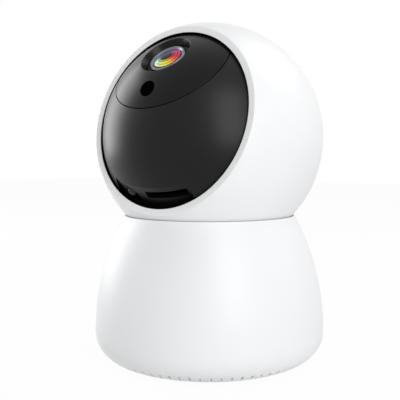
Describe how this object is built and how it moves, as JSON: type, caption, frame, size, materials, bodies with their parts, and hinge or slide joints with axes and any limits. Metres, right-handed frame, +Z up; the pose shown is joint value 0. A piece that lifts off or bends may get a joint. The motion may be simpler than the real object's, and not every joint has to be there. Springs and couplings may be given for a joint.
{
  "type": "security camera",
  "caption": "Indoor pan and tilt security camera: a round white head on a flared base, with a black camera ball that tilts inside the head's opening.",
  "frame": {"origin": "on the pan axis, at the bottom of the rubber foot ring", "axes": "+Z up along the pan axis, the head's opening faces -Y, the tilt axis lies along X"},
  "size_m": [0.0814, 0.0814, 0.118],
  "materials": {
    "shell_white": "satin",
    "cup_plastic": "satin",
    "cover_plastic": "satin",
    "foot_rubber": "matt",
    "screw_steel": "zinc plated",
    "insert_brass": "turned",
    "frame_plastic": "moulded",
    "motor_can": "plated can",
    "shaft_steel": "ground",
    "gear_plastic": "moulded acetal",
    "speaker_parts": "paper cone and frame",
    "gasket_foam": "foam",
    "circuit_board": "solder mask",
    "light_board": "black solder mask",
    "chip_black": "epoxy",
    "socket_metal": "stamped",
    "plug_plastic": "moulded",
    "cable_jacket": "cable jacket",
    "antenna_film": "film",
    "trim_black": "gloss",
    "ball_black": "polished",
    "window_black": "polished, tinted",
    "sensor_black": "gloss",
    "barrel_metal": "anodised",
    "lens_coated": "coated",
    "lamp_resin": "clear resin",
    "button_grey": "satin"
  },
  "bodies": {
    "base": {"base_shell": "shell_white", "bottom_cover": "cover_plastic", "foot_ring": "foot_rubber", "tripod_insert": "insert_brass", "bottom_screws": "screw_steel", "motor_deck": "frame_plastic", "deck_screws": "screw_steel", "pan_motor": "motor_can", "pan_motor_screws": "screw_steel", "speaker_gasket": "gasket_foam", "speaker": "speaker_parts", "power_board": "circuit_board", "usb_socket": "socket_metal", "power_plug": "plug_plastic", "power_components": "chip_black", "power_board_screws": "screw_steel", "base_harness": "cable_jacket", "thrust_washer": "gear_plastic"},
    "pinion": {"pan_pinion": "gear_plastic", "pan_motor_shaft": "shaft_steel"},
    "head": {"head_shell_front": "shell_white", "head_shell_rear": "shell_white", "opening_trim": "trim_black", "turntable_cup": "cup_plastic", "pan_gear": "gear_plastic", "gear_clip": "shaft_steel", "tilt_shaft": "shaft_steel", "pivot_pin": "shaft_steel", "head_ribbon": "cable_jacket"},
    "camera_ball": {"ball_front_shell": "ball_black", "ball_rear_shell": "ball_black", "ball_screws": "screw_steel", "lens_panel": "window_black", "light_sensor_window": "sensor_black", "lens_barrel": "barrel_metal", "lens_glass": "lens_coated", "rear_lens": "lens_coated", "lens_holder": "frame_plastic", "image_sensor": "chip_black", "main_board": "circuit_board", "board_screws": "screw_steel", "main_board_chips": "chip_black", "microphone": "socket_metal", "infrared_board": "light_board", "infrared_lamps": "lamp_resin", "light_header": "plug_plastic", "card_board": "circuit_board", "card_header": "plug_plastic", "card_socket": "socket_metal", "reset_switch": "chip_black", "tilt_motor": "motor_can", "tilt_motor_screws": "screw_steel", "pivot_bush": "gear_plastic", "radio_antenna": "antenna_film"},
    "reset_key": {"reset_button": "button_grey"}
  },
  "joints": [
    {"name": "pan", "type": "hinge", "parent": "base", "child": "head", "pos_m": [0, 0, 0.05], "axis": [0, 0, 1], "range_deg": [-177.5, 177.5]},
    {"name": "pinion_spin", "type": "hinge", "parent": "base", "child": "pinion", "pos_m": [-0.01875, 0, 0.0285], "axis": [0, 0, 1], "range_deg": [-712, 712]},
    {"name": "tilt", "type": "hinge", "parent": "head", "child": "camera_ball", "pos_m": [0, 0, 0.078], "axis": [-1, 0, 0], "range_deg": [-70, 4]},
    {"name": "reset_press", "type": "slide", "parent": "camera_ball", "child": "reset_key", "axis": [0, 0.7254, 0.6884], "range_m": [0, 0.0005], "stiffness_N_per_m": 400, "springref_m": -0.0003}
  ],
  "couplings": [
    {"joint": "pinion_spin", "follows": "pan", "ratio": -4}
  ]
}
